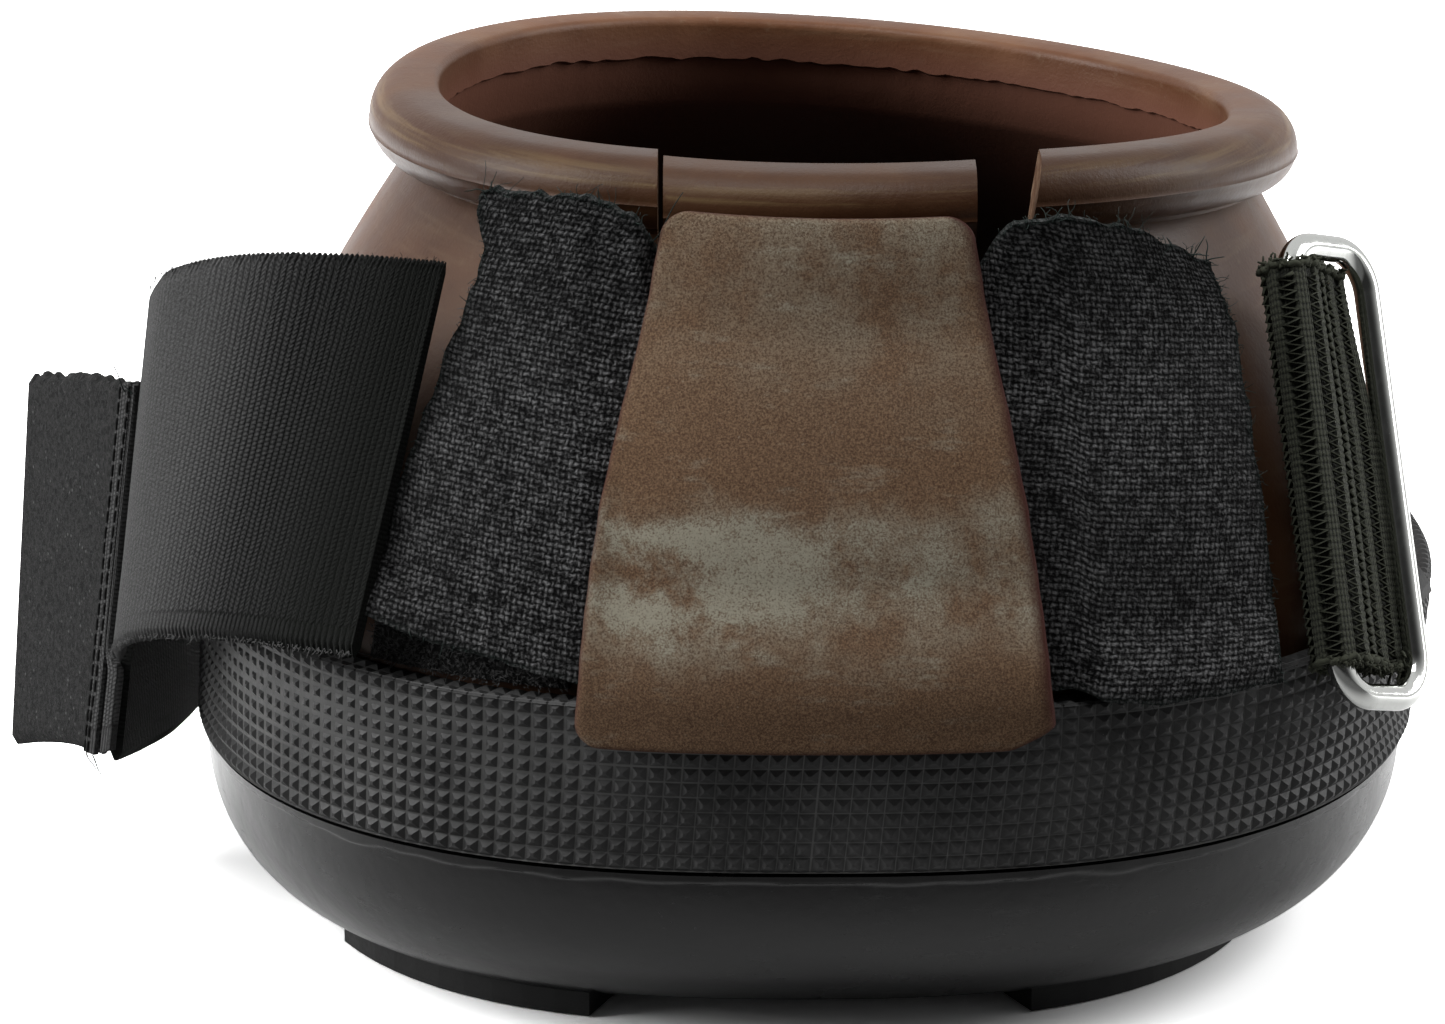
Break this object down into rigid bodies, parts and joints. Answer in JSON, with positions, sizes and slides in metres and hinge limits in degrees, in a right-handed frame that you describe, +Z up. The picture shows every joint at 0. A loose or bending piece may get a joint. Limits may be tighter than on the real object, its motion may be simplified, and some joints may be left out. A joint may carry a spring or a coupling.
{
  "type": "horse hoof boot",
  "caption": "Slip-on rubber hoof boot with a knurled band, rolled collar, opening front flap, folded hook-and-loop strap and a metal strap ring.",
  "frame": {"origin": "on the ground, under the middle of the sole, on the underside of the middle tread pad", "axes": "+Z up, -Y towards the toe and the front flap, +X towards the ring side, -X towards the strap side"},
  "size_m": [0.1807, 0.1701, 0.1038],
  "materials": {
    "brown_rubber": "satin moulded",
    "patch_rubber": "matte with a pale bloom",
    "black_rubber": "glossy moulded",
    "knurled_rubber": "knurled, matte",
    "matte_rubber": "matte",
    "insole_foam": "fine-grained foam",
    "woven_cloth": "plain weave",
    "loop_pile": "loop pile",
    "hook_face": "hook tape",
    "strap_webbing": "fine ribbed webbing",
    "elastic": "ribbed elastic",
    "chrome": "polished wire"
  },
  "bodies": {
    "boot": {"sole_cup": "black_rubber", "foxing_band": "knurled_rubber", "tread_pad_toe_right": "matte_rubber", "tread_pad_toe_left": "matte_rubber", "tread_pad_heel_right": "matte_rubber", "tread_pad_heel_left": "matte_rubber", "tread_pad_centre": "matte_rubber", "insole": "insole_foam", "upper": "brown_rubber", "loop_pad_left": "loop_pile", "loop_pad_right": "loop_pile", "anchor_patch_left": "matte_rubber", "anchor_patch_right": "matte_rubber"},
    "front_flap": {"tongue": "brown_rubber", "wing_left": "woven_cloth", "wing_right": "woven_cloth", "front_patch": "patch_rubber"},
    "strap": {"strap_run": "strap_webbing"},
    "strap_end": {"strap_return": "strap_webbing"},
    "tab": {"hook_tab": "hook_face"},
    "elastic": {"elastic_loop": "elastic"},
    "ring": {"strap_ring": "chrome"}
  },
  "joints": [
    {"name": "flap_hinge", "type": "hinge", "parent": "boot", "child": "front_flap", "pos_m": [0, -0.0835, 0.0406], "axis": [1, 0, 0], "range_deg": [-4, 60]},
    {"name": "strap_swing", "type": "hinge", "parent": "boot", "child": "strap", "pos_m": [-0.07268, 0.03571, 0.02102], "axis": [0, 0, -1], "range_deg": [0, 30]},
    {"name": "strap_fold", "type": "hinge", "parent": "strap", "child": "strap_end", "pos_m": [-0.08736, -0.02976, 0.02735], "axis": [-0.1202, -0.0203, -0.9925], "range_deg": [0, 105]},
    {"name": "tab_flex", "type": "hinge", "parent": "strap", "child": "tab", "pos_m": [-0.08701, -0.02937, 0.02079], "axis": [0.1202, 0.0203, 0.9925], "range_deg": [0, 25]},
    {"name": "elastic_swing", "type": "hinge", "parent": "boot", "child": "elastic", "pos_m": [0.06607, -0.04548, 0.06249], "axis": [-0.1129, 0.4421, 0.8898], "range_deg": [0, 20]},
    {"name": "ring_pivot", "type": "hinge", "parent": "elastic", "child": "ring", "pos_m": [0.05825, -0.05605, 0.06675], "axis": [0.1129, -0.4421, -0.8898], "range_deg": [0, 150]}
  ]
}
